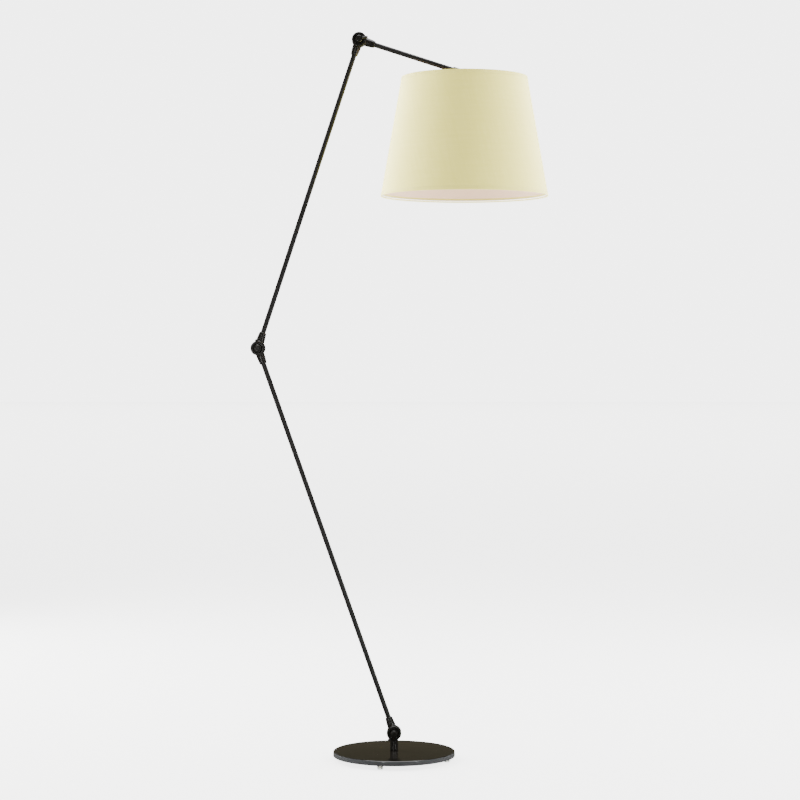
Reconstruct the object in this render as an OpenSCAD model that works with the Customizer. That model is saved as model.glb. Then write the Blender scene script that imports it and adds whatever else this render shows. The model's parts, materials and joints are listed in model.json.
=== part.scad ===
// Adjustable arm floor lamp.
// Millimetres. +Z is up and the arms fold in the XZ plane.
// The origin is on the floor under the plate's centre.
// A heading is an angle in the XZ plane: 0 points up, and it grows towards +X.

/* [Base] */
// Diameter of the base plate
plate_d = 296; // [240:1:360]
// Thickness of the base plate
plate_t = 12; // [9:0.5:18]
// Radius on the plate's upper edge
plate_edge = 3; // [1:0.5:4]
// Height of a foot
foot_h = 10; // [9.5:0.5:16]
// Diameter of a foot where it meets the plate
foot_top_d = 15.5; // [13:0.5:22]
// Diameter of a foot on the floor
foot_floor_d = 12; // [10.5:0.5:13]
// Distance from a foot's centre to the plate's edge
foot_inset = 16; // [12:1:50]
// Heading of the first foot around the plate, seen from above
foot_turn = -14.3; // [-45:0.1:45]
// Diameter of the stem under the base pivot
stem_d = 19.4; // [17:0.1:24]
// Height of the base pivot over the plate
stem_h = 43; // [40:1:90]
// Length of the threaded nipple inside the stem
nipple_grip = 16; // [10:1:18]

/* [Arms] */
// Lower arm, from the base pivot to the elbow pivot
lower_arm = 991.8; // [600:0.1:1300]
// Upper arm, from the elbow pivot to the top pivot
upper_arm = 786.3; // [500:0.1:1000]
// Head arm, from the top pivot to the shade's tilt pivot
head_arm = 268; // [220:0.1:330]
// Outside diameter of the tubes
tube_d = 12; // [10:0.1:15]
// Wall of the tubes
tube_wall = 1; // [0.8:0.1:1.5]

/* [Pose at rest] */
// Lean of the lower arm from upright, towards -X
lower_lean = 19.44; // [0:0.01:30]
// Lean of the upper arm from upright, towards +X
upper_lean = 18.2; // [0:0.01:30]
// Fall of the head arm below level
head_fall = 17.8; // [10:0.01:25]

/* [Knuckles] */
// Diameter of a knuckle's two discs
knuckle_d = 35.6; // [33.6:0.2:46]
// Thickness of one knuckle half
half_t = 12; // [11:0.5:16]
// Gap between the halves, which the friction ring fills
half_gap = 0.8; // [0.6:0.1:1.5]
// Radius on the outer edge of a disc
knuckle_edge = 1.6; // [0.5:0.1:2.5]
// Wall of the boss round the pivot bolt
boss_wall = 2.5; // [2:0.1:3.5]
// Width of the ring-shaped wire way round the boss
wire_w = 4.3; // [3.5:0.1:5]
// Depth of the wire way in each half
wire_depth = 6; // [4.5:0.1:6.5]
// Diameter of the slanting wire hole from the wire way to the tube
wire_hole_d = 5; // [3.5:0.1:5.2]
// Diameter of the dished recess in the front face
dish_d = 22; // [18:0.5:24]
// Depth of the dished recess
dish_depth = 3; // [1.5:0.1:3.5]
// Wall of a neck at its mouth
neck_wall = 2.3; // [1.6:0.1:3]
// How much a neck's radius grows from its mouth to the disc
neck_flare = 2.1; // [1:0.1:3.5]
// Length of a neck, from the pivot to its mouth
neck_len = 40; // [36:0.5:60]
// Bevel at a neck's mouth
neck_edge = 0.8; // [0.3:0.1:1.2]
// Fillet between a neck and its disc
neck_fillet = 1.6; // [0.8:0.1:1.8]
// How deep a tube goes into its neck
socket_depth = 15; // [10:0.5:16]
// Diameter of the grub screw that holds a tube
grub_d = 3; // [2.5:0.5:4]

/* [Pivots] */
// Diameter of a pivot bolt
bolt_d = 6; // [5:0.5:7]
// Width over flats of a bolt head
bolt_flats = 10; // [8:0.5:11]
// Height of a bolt head
bolt_head = 4; // [3:0.5:4.5]
// Diameter of a stop pin
stop_pin_d = 2; // [1.5:0.1:2.2]
// Swing of the lower arm from rest towards -X
base_swing_out = 20; // [5:1:45]
// Swing of the lower arm from rest towards +X
base_swing_in = 35; // [5:1:45]
// Folding of the elbow from rest
elbow_fold = 65; // [10:1:65]
// Opening of the elbow from rest
elbow_open = 45; // [10:1:60]
// Folding of the head arm from rest
head_fold = 10; // [2:1:13]
// Raising of the head arm from rest
head_raise = 45; // [10:1:70]

/* [Levers] */
// Diameter of a lever's hub
hub_d = 17; // [13:0.5:18]
// Height of the hub
hub_h = 12; // [11:0.5:14]
// Reach of a lever from the pivot to its tip
lever_reach = 22; // [18:0.5:30]
// Diameter of the lever bar at the hub
bar_d = 5.8; // [4.5:0.1:6.4]
// Diameter of the ball on the lever's tip
tip_d = 6.6; // [5:0.1:7.5]
// Heading of the base lever at rest
base_lever_heading = 220; // [0:1:359]
// Heading of the elbow lever at rest
elbow_lever_heading = 351; // [0:1:359]
// Heading of the top lever at rest
top_lever_heading = 78; // [0:1:359]

/* [Shade tilt] */
// Diameter of the tilt pivot's two discs
tilt_d = 24; // [22:0.5:28]
// Thickness of one half of the tilt pivot
tilt_half = 6.5; // [6:0.1:9]
// Diameter of the yoke's collar round the head tube
collar_d = 16.5; // [15:0.1:20]
// Length of the yoke, from the tilt pivot to its mouth
yoke_len = 30; // [28:0.5:40]
// Diameter of the tilt screw
tilt_screw_d = 4; // [3:0.5:5]

/* [Shade] */
// Outside diameter of the shade's top edge
shade_top_d = 305; // [240:1:360]
// Outside diameter of the shade's bottom edge
shade_bottom_d = 406; // [320:1:480]
// Height of the shade
shade_h = 287; // [220:1:340]
// How far the shade's top edge is under the tilt pivot
shade_drop = 9.4; // [4:0.2:20]
// Thickness of the shade's outer cloth
cloth_t = 0.9; // [0.6:0.1:1.5]
// Thickness of the stiff liner inside the cloth
liner_t = 0.6; // [0.4:0.1:1]
// Thickness of the rim tape
tape_t = 0.5; // [0.3:0.1:0.8]
// Width of the rim tape
tape_w = 9; // [6:0.5:14]
// Diameter of the shade's wire
wire_d = 3.2; // [2.4:0.2:4]
// Number of spokes in the spider
spokes = 3; // [3:1:4]
// How far the fitter ring is under the shade's top edge
fitter_drop = 45; // [44:1:52]

/* [Lampholder and bulb] */
// Diameter of the lampholder's threaded skirt
skirt_d = 39.5; // [38:0.5:42]
// Length of the skirt
skirt_h = 40; // [36:1:48]
// Diameter of the lampholder's cap
cap_d = 36; // [32:0.5:38]
// Height of the cap
cap_h = 22; // [18:1:28]
// Diameter of the bulb
bulb_d = 60; // [50:1:70]
// How far the bulb comes out of the lampholder
bulb_out = 82; // [76:1:100]
// Outside diameter of the bulb's screw cap
bulb_cap_d = 26.4; // [26:0.1:27]

/* [Fits] */
// Radial clearance of a shaft that turns in its hole
running = 0.05; // [0.02:0.01:0.1]
// Gap between pieces that pass each other
pass_gap = 0.3; // [0.2:0.05:0.5]
// Play of a loose washer or nut pocket
loose = 0.15; // [0.1:0.05:0.3]

/* [Hidden] */
$fn = 96;
cut = 1;                          // how far a cutter runs past a face
chamfer = 0.5;                    // small edge break

// Heights on the base
plate_z = foot_h;
plate_top = plate_z + plate_t;
pivot_z = plate_top + stem_h;

// Headings and pivots of the arms, as [x, z]
lower_heading = -lower_lean;
upper_heading = upper_lean;
head_heading = 90 + head_fall;
function along(heading, length) = length * [sin(heading), cos(heading)];
base_pivot = [0, pivot_z];
elbow_pivot = base_pivot + along(lower_heading, lower_arm);
top_pivot = elbow_pivot + along(upper_heading, upper_arm);
tilt_pivot = top_pivot + along(head_heading, head_arm);

// Rings of a knuckle, from the bolt outwards
knuckle_r = knuckle_d / 2;
face_y = half_gap / 2;
back_y = face_y + half_t;
boss_r = bolt_d / 2 + boss_wall;
wire_r = boss_r + wire_w;
groove_wall = 1;
groove_w = stop_pin_d + 2 * pass_gap;
groove_r = wire_r + groove_wall + groove_w / 2;
register_r = groove_r + groove_w / 2 + groove_wall;
register_h = half_gap - 0.2;
stop_depth = 2.2;
pin_hold = 5;
pin_half_angle = asin(stop_pin_d / 2 / groove_r) + 1;
relief_r = knuckle_r + pass_gap + 0.1;

// Necks
tube_r = tube_d / 2;
mouth_r = tube_r + neck_wall;
root_r = mouth_r + neck_flare;
socket_floor = neck_len - socket_depth;
grub_z = socket_floor + grub_d / 2 + 2;
neck_grub_h = neck_wall + 0.9;

// Pivot hardware on the front of a knuckle, as distances from the arms' plane
flat_washer_t = 1;
spring_washer_t = 0.7;
spring_washer_h = 1.2;
washer_r = bolt_d + 0.2;
dish_floor = back_y - dish_depth;
spring_y = dish_floor + flat_washer_t;
hub_y = spring_y + spring_washer_h;
bar_y = back_y + bar_d / 2 + 3;
bolt_end = hub_y + hub_h - 2.5;
thread_room = 0.6;
head_floor = back_y - bolt_head - 0.5;

// Bottom fixing of the stem
nipple_d = 10;
nipple_bore = 7;
nut_flats = 17;
nut_h = 5;
nut_washer_t = 1;
well_d = 24;
well_floor = plate_z + nut_h + nut_washer_t + 1;
nipple_z = plate_z + 0.5;
bush_flange_h = 3.5;
bush_flange_d = 13;
bush_bore = 5.8;
bush_mouth = 0.8;
bush_grip = 9.5;

// Feet
foot_ring_r = plate_d / 2 - foot_inset;
foot_screw_d = 3.5;
foot_well_d = 7.6;
foot_well = 5.5;
foot_screw_bite = 7;

// Tilt pivot
tilt_gap = 0.5;
tilt_face = tilt_gap / 2;
tilt_back = tilt_face + tilt_half;
tilt_r = tilt_d / 2;
collar_r = collar_d / 2;
tilt_neck_r = 6;
yoke_grub_z = yoke_len - socket_depth + grub_d / 2 + 3;
tilt_head_h = 2.4;
tilt_head_d = 8;
tilt_nut_flats = 7;
tilt_nut_h = 3;
tilt_wire_d = 3.4;
holder_top = tilt_pivot[1] - 18;

// Lampholder
holder_x = tilt_pivot[0];
skirt_top = holder_top - cap_h;
skirt_mouth = skirt_top - skirt_h;
skirt_wall = 1.8;
thread_pitch = 2.5;
clamp_ring_d = 56;
clamp_ring_h = 7;
cap_thread_d = 10;
bulb_thread_r = bulb_cap_d / 2;
bulb_seat = skirt_mouth + 2;
insert_floor = skirt_top - 6;
contact_z = skirt_top - 8;

// Shade
shade_top = tilt_pivot[1] - shade_drop;
shade_bottom = shade_top - shade_h;
shade_slope = atan((shade_bottom_d - shade_top_d) / 2 / shade_h);
fitter_z = shade_top - fitter_drop;
fitter_t = 2;
fitter_hole = skirt_d + 1.5;
fitter_d = clamp_ring_d + 4;
ring_inset = 3.4;
spoke_d = wire_d - 0.6;
function shade_r(z) = shade_top_d / 2 + (shade_top - z) * tan(shade_slope);
function wire_ring_r(z) = shade_r(z) - cloth_t - liner_t - tape_t - wire_d / 2 / cos(shade_slope);

// Places

module at_heading(pivot, heading) {
    translate([pivot[0], 0, pivot[1]]) rotate([0, heading, 0]) children();
}

// Turns a shape that stands on Z to stand on the pivot axis, +Y
module along_y() {
    rotate([-90, 0, 0]) children();
}

module to_front() {
    mirror([0, 1, 0]) children();
}

module rod(from, to, d) {
    v = to - from;
    translate(from) rotate([0, acos(v[2] / norm(v)), atan2(v[1], v[0])]) cylinder(d = d, h = norm(v));
}

// A disc from z0 to z1 whose upper edge is rounded
module round_disc(r, z0, z1, edge) {
    arc = [for (a = [0:15:90]) [r - edge + edge * cos(a), z1 - edge + edge * sin(a)]];
    rotate_extrude() polygon(concat([[0, z0], [r, z0]], arc, [[0, z1]]));
}

module ring(r_in, r_out, z0, z1) {
    translate([0, 0, z0]) difference() {
        cylinder(r = r_out, h = z1 - z0);
        translate([0, 0, -cut]) cylinder(r = r_in, h = z1 - z0 + 2 * cut);
    }
}

module hexagon(flats, z0, z1) {
    translate([0, 0, z0]) cylinder(d = flats / cos(30), h = z1 - z0, $fn = 6);
}

// Knuckle halves: the pivot is at the origin, the neck points up Z and the half lies on the +Y side

// A neck leaves the disc in a fillet that touches both, and narrows in a full curve to its squared mouth
module tapered_neck() {
    fillet_x = root_r + neck_fillet;
    fillet_z = sqrt((knuckle_r + neck_fillet) ^ 2 - fillet_x ^ 2);
    side_h = neck_len - neck_edge - fillet_z;
    touch = atan(fillet_z / fillet_x);
    fillet = [for (part = [1:-0.25:0.25]) [
        fillet_x - neck_fillet * cos(touch * part), fillet_z - neck_fillet * sin(touch * part)
    ]];
    side = [for (t = [0:0.2:1]) [root_r - neck_flare * t * t, fillet_z + side_h * t]];
    rotate_extrude() polygon(concat(
        [[0, 0], [fillet[0][0], 0]], fillet, side, [[mouth_r - neck_edge, neck_len], [0, neck_len]]
    ));
}

module stem_neck() {
    cylinder(d = stem_d, h = stem_h);
}

// The neck is whole past the partner's disc, and beside the partner it stays on its own side
module half_body() {
    along_y() round_disc(knuckle_r, face_y, back_y, knuckle_edge);
    difference() {
        children();
        along_y() translate([0, 0, face_y - 2 * half_t]) cylinder(r = relief_r, h = 2 * half_t);
    }
}

// The wire way runs round the boss, and a slanting hole leads from it to the depth and height given
module wire_way(end_y, end_z) {
    start_y = face_y + wire_depth - wire_hole_d / 2;
    start_z = (boss_r + wire_r) / 2;
    slope = (end_y - start_y) / (end_z - start_z);
    along_y() ring(boss_r, wire_r, face_y - half_gap, face_y + wire_depth);
    rod([0, start_y, start_z], [0, end_y + slope * cut, end_z + cut], wire_hole_d);
}

module tube_wire_way() {
    wire_way(tube_r - tube_wall - wire_hole_d / 2, socket_floor);
}

module tube_socket() {
    translate([0, 0, socket_floor]) cylinder(r = tube_r + running, h = socket_depth + cut);
    translate([0, tube_r - cut, grub_z]) along_y() cylinder(d = grub_d, h = root_r);
}

module bolt_hole() {
    along_y() translate([0, 0, face_y - cut]) cylinder(d = bolt_d + 2 * running, h = half_t + 2 * cut);
}

// The half that holds the bolt head carries the raised register and the stop groove.
// turn is the partner's heading from this half's neck, back and on are its swings from rest.
module rear_half(turn, back, on) {
    groove_start = turn - 180 - back - pin_half_angle;
    difference() {
        union() {
            half_body() children();
            along_y() translate([0, 0, face_y - register_h]) cylinder(r = register_r, h = register_h + cut);
        }
        bolt_hole();
        along_y() hexagon(bolt_flats + 2 * loose, head_floor, back_y + cut);
        along_y() rotate([0, 0, groove_start])
            rotate_extrude(angle = back + on + 2 * pin_half_angle)
                translate([groove_r - groove_w / 2, face_y - register_h - cut])
                    square([groove_w, register_h + stop_depth + cut]);
    }
}

// The half that turns on the bolt: it carries the stop pin and the dish for the lever
module front_half() {
    to_front() difference() {
        half_body() tapered_neck();
        tube_wire_way();
        bolt_hole();
        tube_socket();
        along_y() translate([0, 0, dish_floor]) cylinder(d = dish_d, h = dish_depth + cut);
        stop_pin_place() cylinder(d = stop_pin_d, h = pin_hold);
    }
}

module rear_socket_half(turn, back, on) {
    difference() {
        rear_half(turn, back, on) tapered_neck();
        tube_wire_way();
        tube_socket();
    }
}

// The stop pin stands a quarter turn from the front half's neck
module stop_pin_place() {
    translate([-groove_r, face_y, 0]) along_y() children();
}

module stop_pin() {
    reach = half_gap + stop_depth - 0.6;
    to_front() stop_pin_place() translate([0, 0, -reach]) cylinder(d = stop_pin_d, h = pin_hold + reach);
}

module friction_ring() {
    along_y() ring(register_r + loose, knuckle_r - pass_gap, -face_y, face_y);
}

module pivot_bolt() {
    along_y() {
        translate([0, 0, -bolt_end]) cylinder(d = bolt_d, h = bolt_end + head_floor);
        difference() {
            hexagon(bolt_flats, head_floor, head_floor + bolt_head);
            hexagon(bolt_flats / 2, head_floor + bolt_head / 2, head_floor + bolt_head + cut);
        }
    }
}

module pivot_washers() {
    r_in = bolt_d / 2 + loose;
    to_front() along_y() {
        ring(r_in, washer_r, dish_floor, spring_y);
        rotate_extrude() polygon([
            [washer_r, spring_y], [washer_r, spring_y + spring_washer_t],
            [r_in, spring_y + spring_washer_h], [r_in, spring_y + spring_washer_h - spring_washer_t]
        ]);
    }
}

// Clamping lever: a domed hub threaded on the bolt, with a tapered bar and a ball at its tip
module clamp_lever() {
    hub_r = hub_d / 2;
    neck_r = washer_r - 0.6;
    to_front() difference() {
        union() {
            along_y() round_disc(neck_r, hub_y, hub_y + 2, 0.2);
            along_y() round_disc(hub_r, back_y + pass_gap, hub_y + hub_h, 2.4);
            translate([0, bar_y, 0]) {
                cylinder(d1 = bar_d, d2 = bar_d * 0.8, h = lever_reach - tip_d / 2);
                translate([0, 0, lever_reach - tip_d / 2]) sphere(d = tip_d, $fn = 48);
            }
        }
        along_y() translate([0, 0, hub_y - cut])
            cylinder(d = bolt_d + 2 * running, h = bolt_end - hub_y + cut + thread_room);
    }
}

module grub_screw(z, length) {
    translate([0, tube_r, z]) along_y() difference() {
        cylinder(d = grub_d, h = length);
        hexagon(grub_d / 2, length / 2, length + cut);
    }
}

module neck_grub_screw() {
    grub_screw(grub_z, neck_grub_h);
}

module front_grub_screw() {
    to_front() neck_grub_screw();
}

module arm_tube(length, start, end) {
    translate([0, 0, start]) difference() {
        cylinder(r = tube_r, h = length - start - end);
        translate([0, 0, -cut]) cylinder(r = tube_r - tube_wall, h = length + cut);
    }
}

// Base

module around_feet() {
    for (i = [0:3]) rotate([0, 0, foot_turn + 90 * i]) translate([foot_ring_r, 0, 0]) children();
}

module base_plate() {
    color("#2b2925") difference() {
        translate([0, 0, plate_z]) round_disc(plate_d / 2, 0, plate_t, plate_edge);
        translate([0, 0, plate_z - cut]) cylinder(d = nipple_d + 2 * loose, h = plate_t + 2 * cut);
        translate([0, 0, plate_z - cut]) cylinder(d = well_d, h = well_floor - plate_z + cut);
        around_feet() translate([0, 0, plate_z - cut]) cylinder(d = foot_screw_d, h = foot_screw_bite + cut);
    }
}

module feet() {
    color("#c9ccc8") around_feet() difference() {
        rotate_extrude() polygon([
            [0, 0], [foot_floor_d / 2 - chamfer, 0], [foot_floor_d / 2, chamfer],
            [foot_top_d / 2, foot_h], [0, foot_h]
        ]);
        translate([0, 0, -cut]) cylinder(d = foot_well_d, h = foot_well + cut);
        cylinder(d = foot_screw_d, h = foot_h + cut);
    }
}

module foot_screws() {
    head_h = 2.2;
    color("#b9b9b4") around_feet() difference() {
        union() {
            translate([0, 0, foot_well]) mirror([0, 0, 1]) round_disc(foot_well_d / 2 - 0.4, 0, head_h, 1);
            translate([0, 0, foot_well]) cylinder(d = foot_screw_d, h = foot_h - foot_well + foot_screw_bite);
        }
        for (a = [0, 90]) rotate([0, 0, a])
            translate([-1.8, -0.4, foot_well - head_h - cut]) cube([3.6, 0.8, cut + 1.2]);
    }
}

module base_stem() {
    socket = stem_h - nipple_grip;
    color("#242321") at_heading(base_pivot, 180) difference() {
        rear_half(lower_heading - 180, base_swing_out, base_swing_in) stem_neck();
        wire_way(nipple_bore / 2 - wire_hole_d / 2, socket);
        translate([0, 0, socket]) cylinder(d = nipple_d, h = nipple_grip + cut);
    }
}

module stem_nipple() {
    color("#8f8f88") ring(nipple_bore / 2, nipple_d / 2, nipple_z, plate_top + nipple_grip);
}

module stem_washer() {
    nut_top = well_floor - nut_washer_t;
    color("#a5a59e") ring(nipple_d / 2 + loose, well_d / 2 - 2, nut_top, well_floor);
}

module stem_nut() {
    nut_top = well_floor - nut_washer_t;
    color("#a5a59e") difference() {
        intersection() {
            hexagon(nut_flats, nut_top - nut_h, nut_top);
            round_disc(nut_flats / 2 / cos(30) - 0.3, nut_top - nut_h - cut, nut_top, 1);
        }
        translate([0, 0, nut_top - nut_h - cut]) cylinder(d = nipple_d, h = nut_h + 2 * cut);
    }
}

// Plastic bush in the nipple's lower end, where the lead comes out under the plate
module cord_bush() {
    bottom = nipple_z - bush_flange_h;
    mouth_r = bush_bore / 2 + bush_mouth;
    color("#1d1d1d") rotate_extrude() polygon([
        [mouth_r, bottom], [bush_flange_d / 2 - chamfer, bottom], [bush_flange_d / 2, bottom + chamfer],
        [bush_flange_d / 2, nipple_z], [nipple_bore / 2, nipple_z], [nipple_bore / 2, nipple_z + bush_grip],
        [bush_bore / 2, nipple_z + bush_grip], [bush_bore / 2, bottom + bush_mouth]
    ]);
}

module base_bolt() {
    color("#8f8f88") at_heading(base_pivot, 180) pivot_bolt();
}

module base_friction_ring() {
    color("#4a3f35") at_heading(base_pivot, 180) friction_ring();
}

// Lower arm

module base_knuckle() {
    color("#242321") at_heading(base_pivot, lower_heading) front_half();
}

module lower_tube() {
    color("#242321") at_heading(base_pivot, lower_heading) arm_tube(lower_arm, socket_floor, socket_floor);
}

module elbow_lower_knuckle() {
    turn = upper_heading - lower_heading - 180;
    color("#242321") at_heading(elbow_pivot, lower_heading + 180)
        rear_socket_half(turn, elbow_open, elbow_fold);
}

module lower_grub_screws() {
    color("#3a3a38") {
        at_heading(base_pivot, lower_heading) front_grub_screw();
        at_heading(elbow_pivot, lower_heading + 180) neck_grub_screw();
    }
}

module base_stop_pin() {
    color("#8f8f88") at_heading(base_pivot, lower_heading) stop_pin();
}

module base_washers() {
    color("#a5a59e") at_heading(base_pivot, lower_heading) pivot_washers();
}

module elbow_bolt() {
    color("#8f8f88") at_heading(elbow_pivot, lower_heading + 180) pivot_bolt();
}

module elbow_friction_ring() {
    color("#4a3f35") at_heading(elbow_pivot, lower_heading + 180) friction_ring();
}

// Upper arm

module elbow_upper_knuckle() {
    color("#242321") at_heading(elbow_pivot, upper_heading) front_half();
}

module upper_tube() {
    color("#242321") at_heading(elbow_pivot, upper_heading) arm_tube(upper_arm, socket_floor, socket_floor);
}

module top_lower_knuckle() {
    turn = head_heading - upper_heading - 180;
    color("#242321") at_heading(top_pivot, upper_heading + 180)
        rear_socket_half(turn, head_raise, head_fold);
}

module upper_grub_screws() {
    color("#3a3a38") {
        at_heading(elbow_pivot, upper_heading) front_grub_screw();
        at_heading(top_pivot, upper_heading + 180) neck_grub_screw();
    }
}

module elbow_stop_pin() {
    color("#8f8f88") at_heading(elbow_pivot, upper_heading) stop_pin();
}

module elbow_washers() {
    color("#a5a59e") at_heading(elbow_pivot, upper_heading) pivot_washers();
}

module top_bolt() {
    color("#8f8f88") at_heading(top_pivot, upper_heading + 180) pivot_bolt();
}

module top_friction_ring() {
    color("#4a3f35") at_heading(top_pivot, upper_heading + 180) friction_ring();
}

// Head arm

module top_head_knuckle() {
    color("#242321") at_heading(top_pivot, head_heading) front_half();
}

module head_tube() {
    color("#242321") at_heading(top_pivot, head_heading)
        arm_tube(head_arm, socket_floor, yoke_len - socket_depth);
}

module top_stop_pin() {
    color("#8f8f88") at_heading(top_pivot, head_heading) stop_pin();
}

module top_washers() {
    color("#a5a59e") at_heading(top_pivot, head_heading) pivot_washers();
}

// One half of the tilt pivot, on the +Y side, with the hole for its screw
module tilt_half_body() {
    difference() {
        union() {
            along_y() round_disc(tilt_r, tilt_face, tilt_back, 1);
            difference() {
                children();
                along_y() translate([0, 0, tilt_face - 2 * tilt_half])
                    cylinder(r = tilt_r + pass_gap, h = 2 * tilt_half);
            }
        }
        along_y() translate([0, 0, tilt_face - cut])
            cylinder(d = tilt_screw_d + 2 * running, h = tilt_half + 2 * cut);
    }
}

module head_yoke() {
    color("#242321") at_heading(tilt_pivot, head_heading + 180) difference() {
        tilt_half_body() round_disc(collar_r, 0, yoke_len, 0.8);
        translate([0, 0, yoke_len - socket_depth]) cylinder(r = tube_r + running, h = socket_depth + cut);
        translate([0, 0, yoke_grub_z]) along_y() cylinder(d = grub_d, h = collar_r + cut);
        along_y() hexagon(tilt_nut_flats + 2 * loose, tilt_back - tilt_nut_h - 0.2, tilt_back + cut);
    }
}

module head_grub_screws() {
    color("#3a3a38") {
        at_heading(top_pivot, head_heading) front_grub_screw();
        at_heading(tilt_pivot, head_heading + 180)
            grub_screw(yoke_grub_z, collar_r - tube_r - 0.3);
    }
}

module tilt_screw() {
    head_y = tilt_back - tilt_head_h;
    color("#8f8f88") at_heading(tilt_pivot, head_heading + 180) to_front() along_y() difference() {
        union() {
            round_disc(tilt_head_d / 2, head_y, tilt_back, 0.8);
            translate([0, 0, -tilt_back]) cylinder(d = tilt_screw_d, h = tilt_back + head_y);
        }
        hexagon(2.5, tilt_back - 1.3, tilt_back + cut);
    }
}

module tilt_nut() {
    floor_y = tilt_back - tilt_nut_h - 0.2;
    color("#a5a59e") at_heading(tilt_pivot, head_heading + 180) along_y() difference() {
        hexagon(tilt_nut_flats, floor_y, floor_y + tilt_nut_h);
        translate([0, 0, floor_y - cut]) cylinder(d = tilt_screw_d, h = tilt_nut_h + 2 * cut);
    }
}

// Lamp head

module head_swivel() {
    drop = tilt_pivot[1] - holder_top;
    color("#242321") at_heading(tilt_pivot, 180) difference() {
        to_front() tilt_half_body() union() {
            cylinder(r = tilt_neck_r, h = drop);
            translate([0, 0, drop]) cylinder(d = cap_thread_d, h = 7);
        }
        to_front() along_y() translate([0, 0, tilt_back - tilt_head_h])
            cylinder(d = tilt_head_d + 2 * loose, h = tilt_head_h + cut);
        translate([0, 0, tilt_r * 0.6 + 2]) cylinder(d = tilt_wire_d, h = drop + 7);
    }
}

module tilt_washer() {
    color("#4a3f35") at_heading(tilt_pivot, 180)
        along_y() ring(tilt_screw_d / 2 + loose, tilt_r - 1.5, -tilt_face, tilt_face);
}

module at_holder() {
    translate([holder_x, 0, 0]) children();
}

// Domed cap that screws on the swivel and closes over the skirt's upper end
module holder_cap() {
    wall = 2;
    color("#f2efe8") at_holder() difference() {
        union() {
            round_disc(cap_d / 2, skirt_top, holder_top, 6);
            for (i = [0:15]) rotate([0, 0, i * 22.5]) translate([cap_d / 2 - 0.3, 0, skirt_top])
                cylinder(r = 0.9, h = cap_h - 7);
        }
        translate([0, 0, -5]) round_disc(cap_d / 2 - wall, skirt_top, holder_top, 5);
        translate([0, 0, skirt_top]) cylinder(d = cap_thread_d, h = cap_h + cut);
    }
}

// Threaded skirt: a tube with ridges for the clamp rings
module holder_body() {
    ridges = floor((skirt_h - 6) / thread_pitch);
    r = skirt_d / 2;
    outline = [for (i = [0:ridges - 1]) each [
        [r - 0.7, skirt_top - 3 - i * thread_pitch],
        [r, skirt_top - 3 - (i + 0.5) * thread_pitch]
    ]];
    color("#f2efe8") at_holder() difference() {
        rotate_extrude() polygon(concat([[0, skirt_top], [r - 0.7, skirt_top]], outline,
            [[r - 0.7, skirt_top - 3 - ridges * thread_pitch], [r - 0.7, skirt_mouth], [0, skirt_mouth]]));
        translate([0, 0, skirt_mouth - cut]) cylinder(r = r - 0.7 - skirt_wall, h = skirt_h + 2 * cut);
    }
}

// Contact carrier inside the skirt
module holder_insert() {
    r = skirt_d / 2 - 0.7 - skirt_wall;
    color("#ded9cd") at_holder() difference() {
        translate([0, 0, skirt_top - 14]) cylinder(r = r, h = 14);
        translate([0, 0, skirt_top - 14 - cut])
            cylinder(r = bulb_thread_r + 1.2, h = insert_floor - skirt_top + 14 + cut);
        for (s = [-1, 1]) translate([8 * s, 0, insert_floor - cut]) cylinder(d = 3.4, h = 6 + 2 * cut);
    }
}

// Brass contacts: the centre tongue and the two side springs
module holder_contacts() {
    floor_z = insert_floor - 0.4;
    color("#c8a24c") at_holder() {
        translate([-7, -2.5, floor_z]) cube([14, 5, 0.4]);
        translate([-2, -2, contact_z]) cube([4, 4, floor_z - contact_z]);
        for (turn = [0, 180]) rotate([0, 0, turn]) translate([bulb_thread_r, -3, floor_z - 3])
            cube([0.5, 6, 3.4]);
    }
}

// Two threaded rings that clamp the spider's fitter ring
module shade_clamp_rings() {
    r_in = skirt_d / 2;
    color("#f2efe8") at_holder() {
        for (low = [fitter_z - clamp_ring_h, fitter_z + fitter_t])
            difference() {
                ring(r_in, clamp_ring_d / 2, low, low + clamp_ring_h);
                for (i = [0:11]) rotate([0, 0, i * 30]) translate([clamp_ring_d / 2 + 0.6, 0, low - cut])
                    cylinder(r = 1.6, h = clamp_ring_h + 2 * cut);
            }
    }
}

// Shade

module wire_ring(z) {
    translate([0, 0, z]) rotate_extrude() translate([wire_ring_r(z), 0]) circle(d = wire_d, $fn = 32);
}

// Top wire, spokes and fitter ring, welded into one
module shade_spider() {
    top_z = shade_top - ring_inset;
    color("#e9e6df") at_holder() {
        wire_ring(top_z);
        ring(fitter_hole / 2, fitter_d / 2, fitter_z, fitter_z + fitter_t);
        for (i = [0:spokes - 1]) rotate([0, 0, 90 + i * 360 / spokes])
            rod([fitter_d / 2 - 1, 0, fitter_z + fitter_t / 2], [wire_ring_r(top_z), 0, top_z], spoke_d);
    }
}

module shade_bottom_ring() {
    color("#e9e6df") at_holder() wire_ring(shade_bottom + ring_inset);
}

// A cone shell between two depths under the shade's outer face
module cone_shell(outer, inner, z0, z1) {
    rotate_extrude() polygon([
        [shade_r(z0) - outer, z0], [shade_r(z1) - outer, z1],
        [shade_r(z1) - inner, z1], [shade_r(z0) - inner, z0]
    ]);
}

module shade_cloth() {
    color("#e4dfc4") at_holder() cone_shell(0, cloth_t, shade_bottom, shade_top);
}

module shade_liner() {
    color("#e9dccf") at_holder() cone_shell(cloth_t, cloth_t + liner_t, shade_bottom, shade_top);
}

// Tape folded over each rim
module shade_tapes() {
    shell = cloth_t + liner_t;
    color("#f0ecda") at_holder() {
        for (rim = [[shade_bottom, 1], [shade_top, -1]])
            rim_tape(rim[0], rim[1], shell);
    }
}

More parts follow.
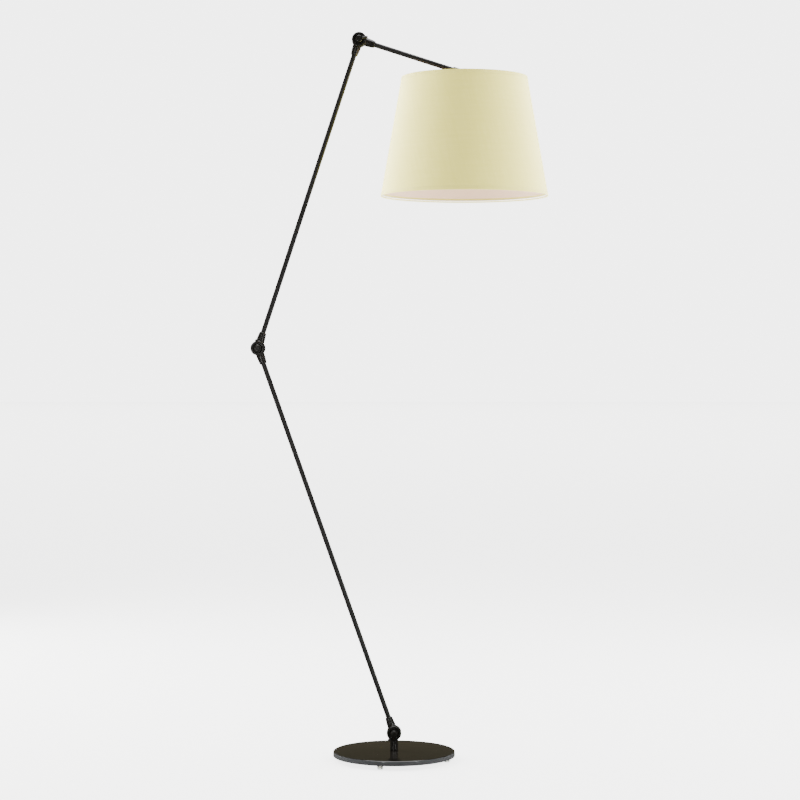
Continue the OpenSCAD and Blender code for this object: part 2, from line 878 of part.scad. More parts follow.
module rim_tape(z, up, shell) {
    far = z + up * tape_w;
    edge = z - up * tape_t;
    rotate_extrude() polygon([
        [shade_r(z), z], [shade_r(far), far], [shade_r(far) + tape_t, far],
        [shade_r(edge) + tape_t, edge], [shade_r(edge) - shell - tape_t, edge],
        [shade_r(far) - shell - tape_t, far], [shade_r(far) - shell, far], [shade_r(z) - shell, z]
    ]);
}

// Bulb

// Opal globe: a ball that runs into the bulb's base
module bulb_globe() {
    r = bulb_d / 2;
    ball_z = skirt_mouth - bulb_out + r;
    joint_z = skirt_mouth - 26;
    joint_r = sqrt(r * r - pow(joint_z - ball_z, 2));
    half = acos((joint_z - ball_z) / r);
    arc = [for (a = [0:6:180 - half]) [r * sin(a), ball_z - r * cos(a)]];
    inner = [for (a = [180 - half:-6:0]) [(r - 1.5) * sin(a), ball_z - (r - 1.5) * cos(a)]];
    color("#f7f6f0") at_holder() rotate_extrude() polygon(concat(
        arc, [[joint_r, joint_z], [joint_r - 1.5, joint_z]], inner, [[0, ball_z - r + 1.5]]
    ));
}

// Moulded base of the bulb, between the globe and the screw cap
module bulb_base() {
    r = bulb_d / 2;
    ball_z = skirt_mouth - bulb_out + r;
    joint_z = skirt_mouth - 26;
    joint_r = sqrt(r * r - pow(joint_z - ball_z, 2));
    color("#f4f4f2") at_holder() rotate_extrude() polygon([
        [0, joint_z], [joint_r, joint_z], [bulb_thread_r + 2, skirt_mouth - 10],
        [bulb_thread_r + 1, skirt_mouth - 1], [bulb_thread_r - 1, bulb_seat], [0, bulb_seat]
    ]);
}

// Rolled-thread screw cap with its contact
module bulb_cap() {
    top = contact_z;
    turns = 6;
    pitch = (top - 4 - bulb_seat) / turns;
    thread = [for (i = [0:turns - 1]) each [
        [bulb_thread_r - 1, bulb_seat + i * pitch], [bulb_thread_r, bulb_seat + (i + 0.5) * pitch]
    ]];
    color("#c3c3bd") at_holder() rotate_extrude() polygon(concat(
        [[0, bulb_seat]], thread, [[bulb_thread_r - 1, top - 4], [6, top - 1], [5, top], [0, top]]
    ));
}

// Levers

module base_lever() {
    color("#242321") at_heading(base_pivot, base_lever_heading) clamp_lever();
}

module elbow_lever() {
    color("#242321") at_heading(elbow_pivot, elbow_lever_heading) clamp_lever();
}

module top_lever() {
    color("#242321") at_heading(top_pivot, top_lever_heading) clamp_lever();
}

base_plate();
feet();
foot_screws();
base_stem();
stem_nipple();
stem_washer();
stem_nut();
cord_bush();
base_bolt();
base_friction_ring();
base_knuckle();
lower_tube();
elbow_lower_knuckle();
lower_grub_screws();
base_stop_pin();
base_washers();
elbow_bolt();
elbow_friction_ring();
elbow_upper_knuckle();
upper_tube();
top_lower_knuckle();
upper_grub_screws();
elbow_stop_pin();
elbow_washers();
top_bolt();
top_friction_ring();
top_head_knuckle();
head_tube();
head_yoke();
head_grub_screws();
top_stop_pin();
top_washers();
tilt_screw();
tilt_nut();
head_swivel();
tilt_washer();
holder_cap();
holder_body();
holder_insert();
holder_contacts();
shade_clamp_rings();
shade_spider();
shade_bottom_ring();
shade_cloth();
shade_liner();
shade_tapes();
bulb_globe();
bulb_base();
bulb_cap();
base_lever();
elbow_lever();
top_lever();
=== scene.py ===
import json
from math import atan2, cos, pi, radians, sin, sqrt

import bmesh
import bpy
from mathutils import Matrix, Vector


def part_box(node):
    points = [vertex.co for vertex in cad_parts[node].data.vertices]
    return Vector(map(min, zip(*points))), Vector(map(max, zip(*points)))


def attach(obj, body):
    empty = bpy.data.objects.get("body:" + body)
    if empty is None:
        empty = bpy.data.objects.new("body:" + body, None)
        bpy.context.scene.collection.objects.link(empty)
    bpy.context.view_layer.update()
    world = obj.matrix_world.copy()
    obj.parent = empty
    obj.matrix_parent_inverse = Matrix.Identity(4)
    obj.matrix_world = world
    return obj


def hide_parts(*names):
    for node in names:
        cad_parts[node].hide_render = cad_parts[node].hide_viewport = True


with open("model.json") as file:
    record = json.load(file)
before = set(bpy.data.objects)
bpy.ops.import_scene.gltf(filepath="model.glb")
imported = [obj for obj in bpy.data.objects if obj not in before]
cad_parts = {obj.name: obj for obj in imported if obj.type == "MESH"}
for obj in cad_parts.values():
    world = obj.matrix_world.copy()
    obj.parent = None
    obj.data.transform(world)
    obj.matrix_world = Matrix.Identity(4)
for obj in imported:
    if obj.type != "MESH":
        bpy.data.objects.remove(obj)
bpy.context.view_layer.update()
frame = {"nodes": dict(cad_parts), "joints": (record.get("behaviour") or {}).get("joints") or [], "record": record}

MM = 0.001
PLAIN = Matrix.Identity(4)

# ---------------------------------------------------------------- places from the frame

nodes = frame["nodes"]
tilt_pivot = next(Vector(joint["pos_m"]) for joint in frame["joints"] if joint["name"] == "shade_tilt")
shade_axis = Matrix.Translation((tilt_pivot.x, 0, 0))


def width(node):
    """A node's extent along X."""
    low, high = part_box(node)
    return high.x - low.x


# ---------------------------------------------------------------- camera

SENSOR_MM = 36
LENS_MM = 97.2
LENS_PLACE = (0.0145, -5.243, 0.946)
LENS_DIP = radians(0.78)

camera_data = bpy.data.cameras.new("camera")
camera_data.sensor_width = SENSOR_MM
camera_data.lens = LENS_MM
camera = bpy.data.objects.new("camera", camera_data)
camera.location = LENS_PLACE
camera.rotation_euler = (pi / 2 - LENS_DIP, 0, 0)
bpy.context.scene.collection.objects.link(camera)
bpy.context.scene.camera = camera

# ---------------------------------------------------------------- materials


def linear(hex_colour):
    """An sRGB hex colour as linear RGBA."""
    parts = [int(hex_colour[i:i + 2], 16) / 255 for i in (1, 3, 5)]
    return tuple(c / 12.92 if c <= 0.04045 else ((c + 0.055) / 1.055) ** 2.4 for c in parts) + (1.0,)


def add(tree, kind, values=None, **settings):
    """Adds a node: settings are its properties, values its sockets, a constant or another node's output each."""
    node = tree.nodes.new(kind)
    for name, value in settings.items():
        setattr(node, name, value)
    for name, value in (values or {}).items():
        socket = node.inputs[name]
        if isinstance(value, bpy.types.NodeSocket):
            tree.links.new(value, socket)
        else:
            socket.default_value = value
    return node


def start(name):
    """A new material's tree with its shader, and the object coordinates in metres."""
    material = bpy.data.materials.new(name)
    material.use_nodes = True
    tree = material.node_tree
    shader = tree.nodes["Principled BSDF"]
    coords = add(tree, "ShaderNodeTexCoord").outputs["Object"]
    return material, tree, shader, coords


def grain(tree, coords, size_mm, detail, stretch=(1, 1, 1)):
    """Noise whose lumps are about size_mm across, stretched along an axis by making that scale smaller."""
    vector = add(tree, "ShaderNodeMapping", {"Vector": coords, "Scale": stretch}).outputs["Vector"]
    return add(tree, "ShaderNodeTexNoise", {"Vector": vector, "Scale": 1 / (size_mm * MM), "Detail": detail})


def mixed(tree, factor, low, high):
    """A colour between two, each a hex colour or another node's output."""
    low, high = (linear(colour) if isinstance(colour, str) else colour for colour in (low, high))
    return add(tree, "ShaderNodeMix", {0: factor, 6: low, 7: high}, data_type="RGBA").outputs[2]


def ranged(tree, value, low, high, from_low=0.3, from_high=0.7):
    """A value spread from one range over another, which here is mostly noise over a range of roughness."""
    return add(tree, "ShaderNodeMapRange", {
        "Value": value, "From Min": from_low, "From Max": from_high, "To Min": low, "To Max": high,
    }).outputs["Result"]


def relief(tree, shader, height, depth_mm, strength):
    """Small relief in the surface, depth_mm from its lowest to its highest place."""
    bump = add(tree, "ShaderNodeBump", {"Height": height, "Distance": depth_mm * MM, "Strength": strength})
    tree.links.new(bump.outputs["Normal"], shader.inputs["Normal"])


def fill(tree, shader, colour=None, roughness=None, **constants):
    """Links a colour and a roughness, and sets the shader's own constants."""
    if colour is not None:
        tree.links.new(colour, shader.inputs["Base Color"])
    if roughness is not None:
        tree.links.new(roughness, shader.inputs["Roughness"])
    for name, value in constants.items():
        shader.inputs[name.replace("_", " ")].default_value = value


def black_powder_coat():
    """Polyester powder coat on steel plate: glossy with fine orange peel, near black on top, and a lighter grey on
    the rim that is a painted reflection of the pale floor.
    """
    material, tree, shader, coords = start("black_powder_coat")
    peel = grain(tree, coords, size_mm=1.1, detail=2.0)
    cloud = grain(tree, coords, size_mm=60, detail=2.0)
    faces = add(tree, "ShaderNodeTexCoord").outputs["Normal"]
    upward = add(tree, "ShaderNodeSeparateXYZ", {"Vector": faces}).outputs["Z"]
    top = mixed(tree, cloud.outputs["Fac"], "#060504", "#0a0907")
    # The rim's lighter grey is a painted reflection of the floor on the upright edge, not a different coat.
    rim = mixed(tree, peel.outputs["Fac"], "#222324", "#2d2e2f")
    top_versus_painted_rim = ranged(tree, upward, low=0, high=1, from_low=0.5, from_high=0.9)
    fill(tree, shader, mixed(tree, top_versus_painted_rim, rim, top),
         ranged(tree, cloud.outputs["Fac"], low=0.1, high=0.15), IOR=1.5, Specular_IOR_Level=0.5)
    relief(tree, shader, peel.outputs["Fac"], depth_mm=0.012, strength=0.4)
    return material


def black_enamel():
    """Stoved gloss enamel on a zinc casting: it pools a little, so highlights run and break."""
    material, tree, shader, coords = start("black_enamel")
    pooled = grain(tree, coords, size_mm=5, detail=2.0)
    specks = grain(tree, coords, size_mm=0.8, detail=3.0)
    fill(tree, shader, mixed(tree, pooled.outputs["Fac"], "#070706", "#0e0d0c"),
         ranged(tree, specks.outputs["Fac"], low=0.2, high=0.28), IOR=1.52, Specular_IOR_Level=0.5)
    relief(tree, shader, pooled.outputs["Fac"], depth_mm=0.05, strength=0.5)
    return material


def black_tube_coat():
    """Powder coat on drawn tube: smoother than on plate, with a fine orange peel."""
    material, tree, shader, coords = start("black_tube_coat")
    peel = grain(tree, coords, size_mm=0.9, detail=2.0)
    cloud = grain(tree, coords, size_mm=45, detail=2.0)
    fill(tree, shader, mixed(tree, cloud.outputs["Fac"], "#0c0c0b", "#141312"),
         ranged(tree, cloud.outputs["Fac"], low=0.34, high=0.44), IOR=1.5, Specular_IOR_Level=0.28)
    relief(tree, shader, peel.outputs["Fac"], depth_mm=0.02, strength=0.4)
    return material


def zinc_plate():
    """Bright zinc plating on turned steel: grey with a faint warm bloom and fine tool marks."""
    material, tree, shader, coords = start("zinc_plate")
    bloom = grain(tree, coords, size_mm=7, detail=2.0)
    marks = grain(tree, coords, size_mm=0.25, detail=2.0, stretch=(1, 6, 1))
    fill(tree, shader, mixed(tree, bloom.outputs["Fac"], "#a9aaa4", "#c3bfae"),
         ranged(tree, marks.outputs["Fac"], low=0.25, high=0.42), Metallic=1.0)
    relief(tree, shader, marks.outputs["Fac"], depth_mm=0.01, strength=0.5)
    return material


def black_oxide():
    """Black oxide on a hardened screw: dull, dark and slightly oily."""
    material, tree, shader, coords = start("black_oxide")
    spots = grain(tree, coords, size_mm=0.6, detail=2.0)
    fill(tree, shader, mixed(tree, spots.outputs["Fac"], "#1b1b1c", "#2b2a29"),
         ranged(tree, spots.outputs["Fac"], low=0.35, high=0.5), Metallic=0.7)
    relief(tree, shader, spots.outputs["Fac"], depth_mm=0.01, strength=0.4)
    return material


def friction_fibre():
    """Pressed fibre: matt brown-black with short light hairs in it."""
    material, tree, shader, coords = start("friction_fibre")
    hairs = grain(tree, coords, size_mm=0.5, detail=4.0, stretch=(1, 1, 4))
    fill(tree, shader, mixed(tree, hairs.outputs["Fac"], "#2a211a", "#54463a"),
         ranged(tree, hairs.outputs["Fac"], low=0.7, high=0.95))
    relief(tree, shader, hairs.outputs["Fac"], depth_mm=0.05, strength=0.6)
    return material


def clear_bumper():
    """Cast polyurethane bumper: clear as glass with dark edges, and faintly cloudy."""
    material, tree, shader, coords = start("clear_bumper")
    cloud = grain(tree, coords, size_mm=4, detail=2.0)
    fill(tree, shader, mixed(tree, cloud.outputs["Fac"], "#dfe2dd", "#eef0ec"),
         ranged(tree, cloud.outputs["Fac"], low=0.04, high=0.1), IOR=1.49, Transmission_Weight=1.0)
    relief(tree, shader, cloud.outputs["Fac"], depth_mm=0.02, strength=0.3)
    return material


def moulded_nylon():
    """Black moulded nylon: satin, with the fine texture of a spark-eroded mould."""
    material, tree, shader, coords = start("moulded_nylon")
    texture = grain(tree, coords, size_mm=0.35, detail=3.0)
    fill(tree, shader, mixed(tree, texture.outputs["Fac"], "#161616", "#222120"),
         ranged(tree, texture.outputs["Fac"], low=0.42, high=0.58), IOR=1.53)
    relief(tree, shader, texture.outputs["Fac"], depth_mm=0.03, strength=0.5)
    return material


def white_thermoset():
    """White moulded lampholder plastic: hard, fairly glossy, faintly cloudy where it flowed."""
    material, tree, shader, coords = start("white_thermoset")
    flow = grain(tree, coords, size_mm=9, detail=2.0, stretch=(1, 1, 0.4))
    fill(tree, shader, mixed(tree, flow.outputs["Fac"], "#ece9df", "#f6f3ea"),
         ranged(tree, flow.outputs["Fac"], low=0.22, high=0.34), IOR=1.5)
    relief(tree, shader, flow.outputs["Fac"], depth_mm=0.04, strength=0.3)
    return material


def porcelain_bisque():
    """Unglazed pressed steatite: matt cream with fine pits."""
    material, tree, shader, coords = start("porcelain_bisque")
    pits = grain(tree, coords, size_mm=0.5, detail=4.0)
    fill(tree, shader, mixed(tree, pits.outputs["Fac"], "#d9d2c0", "#ebe6d8"),
         ranged(tree, pits.outputs["Fac"], low=0.55, high=0.75))
    relief(tree, shader, pits.outputs["Fac"], depth_mm=0.04, strength=0.6)
    return material


def stamped_brass():
    """Rolled brass strip: warm metal with roll lines."""
    material, tree, shader, coords = start("stamped_brass")
    lines = grain(tree, coords, size_mm=0.3, detail=2.0, stretch=(0.2, 1, 1))
    fill(tree, shader, mixed(tree, lines.outputs["Fac"], "#b08a3c", "#d1aa57"),
         ranged(tree, lines.outputs["Fac"], low=0.25, high=0.4), Metallic=1.0)
    relief(tree, shader, lines.outputs["Fac"], depth_mm=0.01, strength=0.5)
    return material


def dipped_white_wire():
    """White epoxy dip on steel wire: glossy, a little uneven along the wire."""
    material, tree, shader, coords = start("dipped_white_wire")
    runs = grain(tree, coords, size_mm=3, detail=2.0)
    fill(tree, shader, mixed(tree, runs.outputs["Fac"], "#e3dfd2", "#f1eee4"),
         ranged(tree, runs.outputs["Fac"], low=0.24, high=0.36), IOR=1.5)
    relief(tree, shader, runs.outputs["Fac"], depth_mm=0.06, strength=0.5)
    return material


def opal_diffuser():
    """Opal polycarbonate: milky, smooth, light goes some way into it."""
    material, tree, shader, coords = start("opal_diffuser")
    cloud = grain(tree, coords, size_mm=14, detail=2.0)
    fill(tree, shader, mixed(tree, cloud.outputs["Fac"], "#f1efe8", "#f8f7f3"),
         ranged(tree, cloud.outputs["Fac"], low=0.2, high=0.28), IOR=1.58, Subsurface_Weight=0.3,
         Subsurface_Radius=(0.004, 0.004, 0.003))
    relief(tree, shader, cloud.outputs["Fac"], depth_mm=0.02, strength=0.3)
    return material


def rolled_aluminium():
    """Rolled aluminium thread of a bulb cap: bright, dulled by handling."""
    material, tree, shader, coords = start("rolled_aluminium")
    smear = grain(tree, coords, size_mm=3, detail=3.0)
    fill(tree, shader, mixed(tree, smear.outputs["Fac"], "#b9bab8", "#d2d2cf"),
         ranged(tree, smear.outputs["Fac"], low=0.28, high=0.45), Metallic=1.0)
    relief(tree, shader, smear.outputs["Fac"], depth_mm=0.02, strength=0.4)
    return material


def weave(tree, thread_mm):
    """Plain weave from the cloth's own map, in metres: crossed waves, so each thread passes over and under."""
    cloth_map = add(tree, "ShaderNodeUVMap", uv_map="cloth").outputs["UV"]
    split = add(tree, "ShaderNodeSeparateXYZ", {"Vector": cloth_map})
    waves = []
    for axis in ("X", "Y"):
        turns = add(tree, "ShaderNodeMath", {
            0: split.outputs[axis], 1: pi / (thread_mm * MM)}, operation="MULTIPLY")
        waves.append(add(tree, "ShaderNodeMath", {0: turns.outputs[0]}, operation="SINE").outputs[0])
    crossed = add(tree, "ShaderNodeMath", {0: waves[0], 1: waves[1]}, operation="MULTIPLY").outputs[0]
    return cloth_map, crossed


def cloth(name, low, high, thread_mm, depth_mm, sheen):
    """Woven cloth: threads in relief, slubs along both ways of the weave, and a soft sheen."""
    material, tree, shader, coords = start(name)
    cloth_map, crossed = weave(tree, thread_mm)
    slub_across = grain(tree, cloth_map, size_mm=6 * thread_mm, detail=3.0, stretch=(0.12, 1, 1))
    slub_up = grain(tree, cloth_map, size_mm=6 * thread_mm, detail=3.0, stretch=(1, 0.12, 1))
    slubs = add(tree, "ShaderNodeMath", {
        0: slub_across.outputs["Fac"], 1: slub_up.outputs["Fac"]}, operation="MULTIPLY").outputs[0]
    fill(tree, shader,
         mixed(tree, ranged(tree, slubs, low=0.0, high=1.0, from_low=0.12, from_high=0.4), low, high),
         ranged(tree, slubs, low=0.78, high=0.92, from_low=0.15, from_high=0.35), IOR=1.45, Sheen_Weight=sheen,
         Sheen_Roughness=0.5, Sheen_Tint=linear("#fffaf0"), Specular_IOR_Level=0.2)
    height = add(tree, "ShaderNodeMath", {0: crossed, 1: 0.35, 2: slubs}, operation="MULTIPLY_ADD").outputs[0]
    relief(tree, shader, height, depth_mm, 0.6)
    return material


def shade_cloth_material():
    """Cream cotton laid on the liner. Real threads are 0.5 mm apart, drawn here at 1.3 mm so that they show."""
    return cloth("cream_cotton", "#beb654", "#c3bb5d", thread_mm=1.3, depth_mm=0.04, sheen=0.45)


def shade_tape_material():
    """Cotton tape folded over the rims: the same cream, closer woven."""
    return cloth("cream_tape", "#b9b153", "#bfb75d", thread_mm=0.9, depth_mm=0.04, sheen=0.45)


def liner_sheet():
    """Calendered styrene liner: pale pinkish white, satin, with the cloth's threads faintly printed through."""
    material, tree, shader, coords = start("liner_sheet")
    cloth_map, crossed = weave(tree, 1.3)
    cloud = grain(tree, coords, size_mm=25, detail=3.0)
    fill(tree, shader, mixed(tree, cloud.outputs["Fac"], "#bfa387", "#c8ae93"),
         ranged(tree, cloud.outputs["Fac"], low=0.5, high=0.62), IOR=1.55, Specular_IOR_Level=0.35)
    relief(tree, shader, crossed, depth_mm=0.02, strength=0.4)
    return material


FINISHES = {
    "black_powder_coat": black_powder_coat(),
    "black_casting": black_enamel(),
    "black_tube": black_tube_coat(),
    "zinc_plated_steel": zinc_plate(),
    "black_screw": black_oxide(),
    "fibre": friction_fibre(),
    "clear_bumper": clear_bumper(),
    "black_nylon": moulded_nylon(),
    "holder_plastic": white_thermoset(),
    "holder_ceramic": porcelain_bisque(),
    "brass_contact": stamped_brass(),
    "white_wire": dipped_white_wire(),
    "shade_fabric": shade_cloth_material(),
    "shade_lining": liner_sheet(),
    "rim_tape": shade_tape_material(),
    "opal_globe": opal_diffuser(),
    "bulb_screw_cap": rolled_aluminium(),
}
FINISHES["black_lever"] = FINISHES["black_casting"]
FINISHES["bulb_plastic"] = FINISHES["holder_plastic"]
slot_of = {part["node"]: part["material_slot"] for part in frame["record"]["subparts"]}
body_of = {node: body for body, members in frame["record"]["behaviour"]["bodies"].items() for node in members}

for node_name, cad_object in nodes.items():
    cad_object.data.materials.clear()
    cad_object.data.materials.append(FINISHES[slot_of[node_name]])

# ---------------------------------------------------------------- making pieces

ROUND_STEPS = 256
SMOOTHING_ROUNDS = 3


def arc(centre_r, centre_z, radius, first, last, steps):
    """Points of a round stretch of a profile, by its angle from the radial direction in degrees."""
    return [
        (centre_r + radius * cos(radians(first + (last - first) * i / steps)),
         centre_z + radius * sin(radians(first + (last - first) * i / steps)))
        for i in range(steps + 1)
    ]


def lathe(profile):
    """Spins a closed profile of (radius, height) points round Z."""
    bm = bmesh.new()
    points = [bm.verts.new((r, 0, z)) for r, z in profile]
    edges = [bm.edges.new((a, b)) for a, b in zip(points, points[1:] + points[:1])]
    bmesh.ops.spin(bm, geom=points + edges, cent=(0, 0, 0), axis=(0, 0, 1), angle=2 * pi,
                   steps=ROUND_STEPS, use_merge=True)
    bmesh.ops.remove_doubles(bm, verts=bm.verts, dist=1e-6)
    loose = [edge for edge in bm.edges if not edge.link_faces]
    bmesh.ops.delete(bm, geom=loose, context="EDGES")
    bmesh.ops.recalc_face_normals(bm, faces=bm.faces)
    return bm


def piece(bm, name, stands_for, place=PLAIN, smooth_angle=35):
    """Makes an object of a bmesh that stands for CAD nodes: it takes the first one's body, slot and finish."""
    node = stands_for[0]
    bmesh.ops.transform(bm, matrix=place, verts=bm.verts)
    mesh = bpy.data.meshes.new(name)
    bm.to_mesh(mesh)
    bm.free()
    mesh.materials.append(FINISHES[slot_of[node]])
    made = bpy.data.objects.new(name, mesh)
    bpy.context.scene.collection.objects.link(made)
    mesh.shade_smooth()
    mesh.set_sharp_from_angle(angle=radians(smooth_angle))
    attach(made, body_of[node])
    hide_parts(*stands_for)


def evaluated(obj):
    """The mesh of an object with its modifiers, in a bmesh, and the object taken away."""
    bpy.context.view_layer.update()
    graph = bpy.context.evaluated_depsgraph_get()
    mesh = bpy.data.meshes.new_from_object(obj.evaluated_get(graph))
    bm = bmesh.new()
    bm.from_mesh(mesh)
    bpy.data.objects.remove(obj)
    bpy.data.meshes.remove(mesh)
    return bm


def casting(node, voxel_mm):
    """A cast piece from its CAD node: the corners, inner and outer, get the small radii that a mould gives."""
    bm = bmesh.new()
    bm.from_mesh(nodes[node].data)
    bmesh.ops.remove_doubles(bm, verts=bm.verts, dist=1e-6)
    mesh = bpy.data.meshes.new("blank")
    bm.to_mesh(mesh)
    bm.free()
    blank = bpy.data.objects.new("blank", mesh)
    bpy.context.scene.collection.objects.link(blank)
    remesh = blank.modifiers.new("remesh", "REMESH")
    remesh.mode = "VOXEL"
    remesh.voxel_size = voxel_mm * MM
    bm = evaluated(blank)
    for _ in range(SMOOTHING_ROUNDS):
        bmesh.ops.smooth_vert(bm, verts=bm.verts, factor=0.5, use_axis_x=True, use_axis_y=True, use_axis_z=True)
    piece(bm, node + "_casting", [node], smooth_angle=180)


# ---------------------------------------------------------------- base

plate_low, plate_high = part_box("base_plate")
plate_r = width("base_plate") / 2
PLATE_EDGE = 3 * MM
PLATE_LOWER_EDGE = 0.8 * MM
WELL_R = 12 * MM
WELL_DEPTH = 7 * MM
NIPPLE_HOLE = 5.15 * MM


def make_plate():
    """The plate with its rounded upper edge, the nut's well under it and the nipple's hole."""
    low, high = plate_low.z, plate_high.z
    well = low + WELL_DEPTH
    profile = [(NIPPLE_HOLE, high), (NIPPLE_HOLE, well), (WELL_R, well), (WELL_R, low)]
    profile += arc(plate_r - PLATE_LOWER_EDGE, low + PLATE_LOWER_EDGE, PLATE_LOWER_EDGE, -90, 0, 4)
    profile += arc(plate_r - PLATE_EDGE, high - PLATE_EDGE, PLATE_EDGE, 0, 90, 10)
    piece(lathe(profile), "plate", ["base_plate"])


make_plate()

# ---------------------------------------------------------------- castings and levers

for voxel_mm, cast_nodes in (
    (0.5, ("base_stem", "base_knuckle", "elbow_lower_knuckle", "elbow_upper_knuckle", "top_lower_knuckle",
           "top_head_knuckle")),
    (0.4, ("head_yoke", "head_swivel")),
    (0.28, ("base_lever", "elbow_lever", "top_lever")),
):
    for node_name in cast_nodes:
        casting(node_name, voxel_mm)

# ---------------------------------------------------------------- shade

shade_low, shade_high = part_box("shade_cloth")
shade_bottom, shade_top = shade_low.z, shade_high.z
bottom_r = width("shade_cloth") / 2
TOP_RATIO = 305 / 406
top_r = bottom_r * TOP_RATIO
shade_h = shade_top - shade_bottom
CLOTH_T = 0.9 * MM
LINER_T = 0.6 * MM
TAPE_PROUD = 0.3 * MM
TAPE_OVER_RIM = 0.5 * MM
TAPE_BEVEL = 0.4 * MM
TAPE_FOLD = 0.35 * MM
TAPE_W = 9 * MM
WALL_ROWS = 24
SEAM_ANGLE = radians(90.7)
SEAM_LAP = 12 * MM
SEAM_FADE = 20 * MM
SEAM_STEP = 0.5 * MM
SEAM_EDGE = 0.4 * MM
slant = sqrt(shade_h ** 2 + (bottom_r - top_r) ** 2)


def cone_r(z):
    """The radius of the shade's outer face at a height."""
    return top_r + (shade_top - z) / shade_h * (bottom_r - top_r)


def map_cloth(bm):
    """The cloth's own map: metres round the shade and metres up it."""
    layer = bm.loops.layers.uv.new("cloth")
    for face in bm.faces:
        middle = face.calc_center_median()
        middle_angle = atan2(middle.y, middle.x)
        for loop in face.loops:
            co = loop.vert.co
            angle = atan2(co.y, co.x)
            while angle - middle_angle > pi:
                angle -= 2 * pi
            while angle - middle_angle < -pi:
                angle += 2 * pi
            loop[layer].uv = (angle * cone_r(co.z), (co.z - shade_bottom) * slant / shade_h)


def lap_seam(bm):
    """The cloth's ends lap at the back: a sharp upright edge, and beside it a gentle fall to the plain wall."""
    for offset in (0, SEAM_EDGE):
        angle = SEAM_ANGLE + offset / bottom_r
        faces = [face for face in bm.faces if face.calc_center_median().y > bottom_r / 2]
        edges = {edge for face in faces for edge in face.edges}
        verts = {vert for face in faces for vert in face.verts}
        bmesh.ops.bisect_plane(bm, geom=faces + list(edges) + list(verts), dist=1e-7, plane_co=(0, 0, 0),
                               plane_no=(-sin(angle), cos(angle), 0))
    for vert in bm.verts:
        radius = vert.co.xy.length
        along = (atan2(vert.co.y, vert.co.x) - SEAM_ANGLE) * bottom_r
        if radius < cone_r(vert.co.z) - 0.1 * MM or not SEAM_EDGE / 2 < along < SEAM_LAP + SEAM_FADE:
            continue
        fall = max(0, along - SEAM_LAP) / SEAM_FADE
        rise = SEAM_STEP * (1 + cos(pi * fall)) / 2
        vert.co.x *= 1 + rise / radius
        vert.co.y *= 1 + rise / radius


def shell(outer, inner):
    """A conical wall between two depths under the shade's outer face."""
    heights = [shade_bottom + (shade_top - shade_bottom) * i / WALL_ROWS for i in range(WALL_ROWS + 1)]
    profile = [(cone_r(z) - outer, z) for z in heights] + [(cone_r(z) - inner, z) for z in reversed(heights)]
    bm = lathe(profile)
    lap_seam(bm)
    map_cloth(bm)
    return bm


piece(shell(0, CLOTH_T), "shade_cover", ["shade_cloth"], shade_axis)
piece(shell(CLOTH_T, CLOTH_T + LINER_T), "shade_lining", ["shade_liner"], shade_axis)


def make_tapes():
    """The tapes folded over both rims, each a thin skin on the wall's two faces with a flat fold at the rim."""
    wall = CLOTH_T + LINER_T
    fold = wall / 2 + TAPE_FOLD
    whole = bmesh.new()
    for rim, up in ((shade_bottom, 1), (shade_top, -1)):
        far = rim + up * TAPE_W
        bevel_z = far - up * TAPE_BEVEL
        turn = arc(cone_r(rim) - wall / 2, rim, fold, 0, -180 * up, 10)
        turn = [(r, rim + (z - rim) * TAPE_OVER_RIM / fold) for r, z in turn]
        profile = [(cone_r(far), far), (cone_r(far) + TAPE_PROUD, bevel_z)] + turn
        profile += [(cone_r(far) - wall - TAPE_PROUD, bevel_z), (cone_r(far) - wall, far)]
        profile += [(cone_r(rim) - wall, rim), (cone_r(rim), rim)]
        bm = lathe(profile)
        mesh = bpy.data.meshes.new("tape")
        bm.to_mesh(mesh)
        bm.free()
        whole.from_mesh(mesh)
        bpy.data.meshes.remove(mesh)
    lap_seam(whole)
    map_cloth(whole)
    piece(whole, "shade_rim_tapes", ["shade_tapes"], shade_axis)


make_tapes()

# ---------------------------------------------------------------- stage


FLOOR_HALF = 60
FLOOR_GLOW = 3.5


def make_stage():
    """A pale floor lit from under as well, so that what stands on it has only a soft shadow."""
    bm = bmesh.new()
    bmesh.ops.create_grid(bm, x_segments=1, y_segments=1, size=FLOOR_HALF)
    mesh = bpy.data.meshes.new("floor")
    bm.to_mesh(mesh)
    bm.free()
    material = bpy.data.materials.new("pale_floor")
    material.use_nodes = True
    shader = material.node_tree.nodes["Principled BSDF"]
    fill(material.node_tree, shader, Base_Color=linear("#898988"), Roughness=0.95, Specular_IOR_Level=0.0,
         Emission_Color=linear("#ffffff"), Emission_Strength=FLOOR_GLOW)
    mesh.materials.append(material)
    ground = bpy.data.objects.new("floor", mesh)
    ground.visible_glossy = False
    bpy.context.scene.collection.objects.link(ground)


def softbox(name, place, target, size, power, mirrored):
    """An area light that the lens doesn't see; mirrored says whether gloss shows it."""
    data = bpy.data.lights.new(name, "AREA")
    data.shape = "RECTANGLE"
    data.size, data.size_y = size
    data.energy = power
    lamp = bpy.data.objects.new(name, data)
    lamp.location = place
    lamp.rotation_euler = (Vector(target) - Vector(place)).to_track_quat("-Z", "Y").to_euler()
    lamp.visible_camera = False
    lamp.visible_glossy = mirrored
    bpy.context.scene.collection.objects.link(lamp)


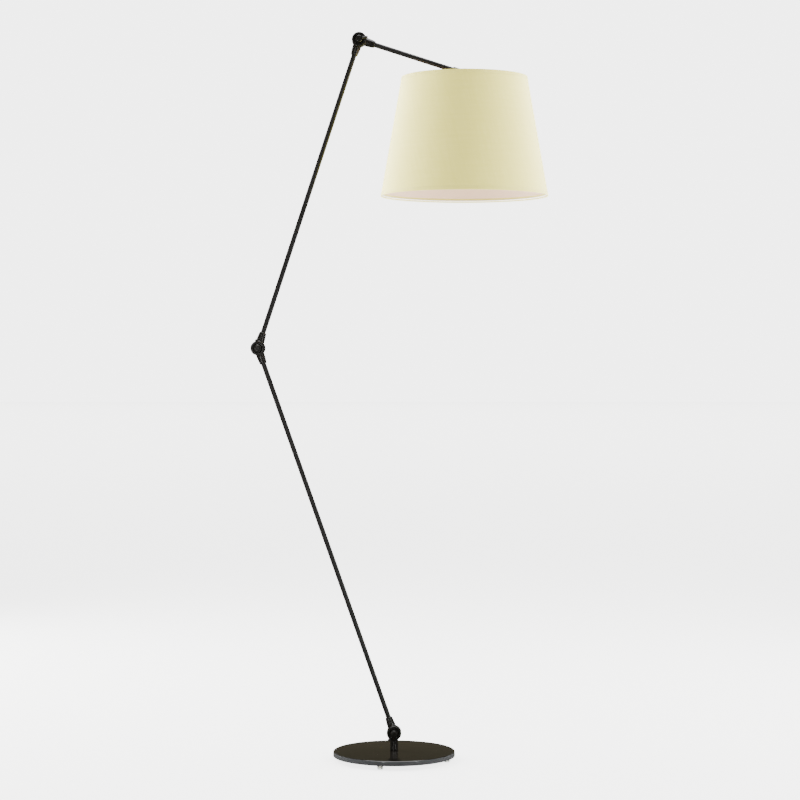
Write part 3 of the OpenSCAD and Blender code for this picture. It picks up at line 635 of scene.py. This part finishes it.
def ceiling_light(strength, spread_degrees):
    """Even light from a wide ceiling, the same all over the floor."""
    data = bpy.data.lights.new("ceiling", "SUN")
    data.energy = strength
    data.angle = radians(spread_degrees)
    lamp = bpy.data.objects.new("ceiling", data)
    lamp.location = (0, 0, 4)
    bpy.context.scene.collection.objects.link(lamp)


SIDE_BOX = (3.2, 3.8)
TALL_STRIP = (0.08, 2.4)
LOW_STRIP = (0.06, 0.5)

make_stage()
for name, place, target, size, power, mirrored in (
    ("left_softbox", (-2.3, 1.3, 2.0), (0.1, 0.5, 1.7), SIDE_BOX, 1040, False),
    ("right_softbox", (2.4, 0.7, 2.0), (0.1, 0.2, 1.7), SIDE_BOX, 640, False),
    ("left_strip", (-1.0, -2.8, 1.25), (0, 0, 1.2), TALL_STRIP, 10, True),
    ("right_strip", (2.2, -2.5, 1.25), (0, 0, 1.2), TALL_STRIP, 10, True),
    ("low_left_strip", (-0.8, -2.2, 0.4), (0, 0, 0.2), LOW_STRIP, 5, True),
    ("low_right_strip", (1.45, -1.65, 0.4), (0, 0, 0.2), LOW_STRIP, 5, True),
    ("backdrop_light", (0, 34, 11), (0, 34, 0), (90, 50), 50000, False),
):
    softbox(name, place, target, size, power, mirrored)
ceiling_light(strength=5.5, spread_degrees=60)


FILL_STRENGTH = 0.105
BACKDROP_STRENGTH = 4.7


def make_world():
    """Dim light all round, so that black gloss stays black; the backdrop that the lens sees is plain white."""
    world = bpy.data.worlds.new("studio")
    world.use_nodes = True
    tree = world.node_tree
    fill_light = tree.nodes["Background"]
    fill_light.inputs["Color"].default_value = linear("#fff4cb")
    fill_light.inputs["Strength"].default_value = FILL_STRENGTH
    backdrop = add(tree, "ShaderNodeBackground", {"Color": linear("#ffffff"), "Strength": BACKDROP_STRENGTH})
    seen = add(tree, "ShaderNodeLightPath").outputs["Is Camera Ray"]
    both = add(tree, "ShaderNodeMixShader", {0: seen, 1: fill_light.outputs[0], 2: backdrop.outputs[0]})
    tree.links.new(both.outputs[0], tree.nodes["World Output"].inputs["Surface"])
    bpy.context.scene.world = world


make_world()
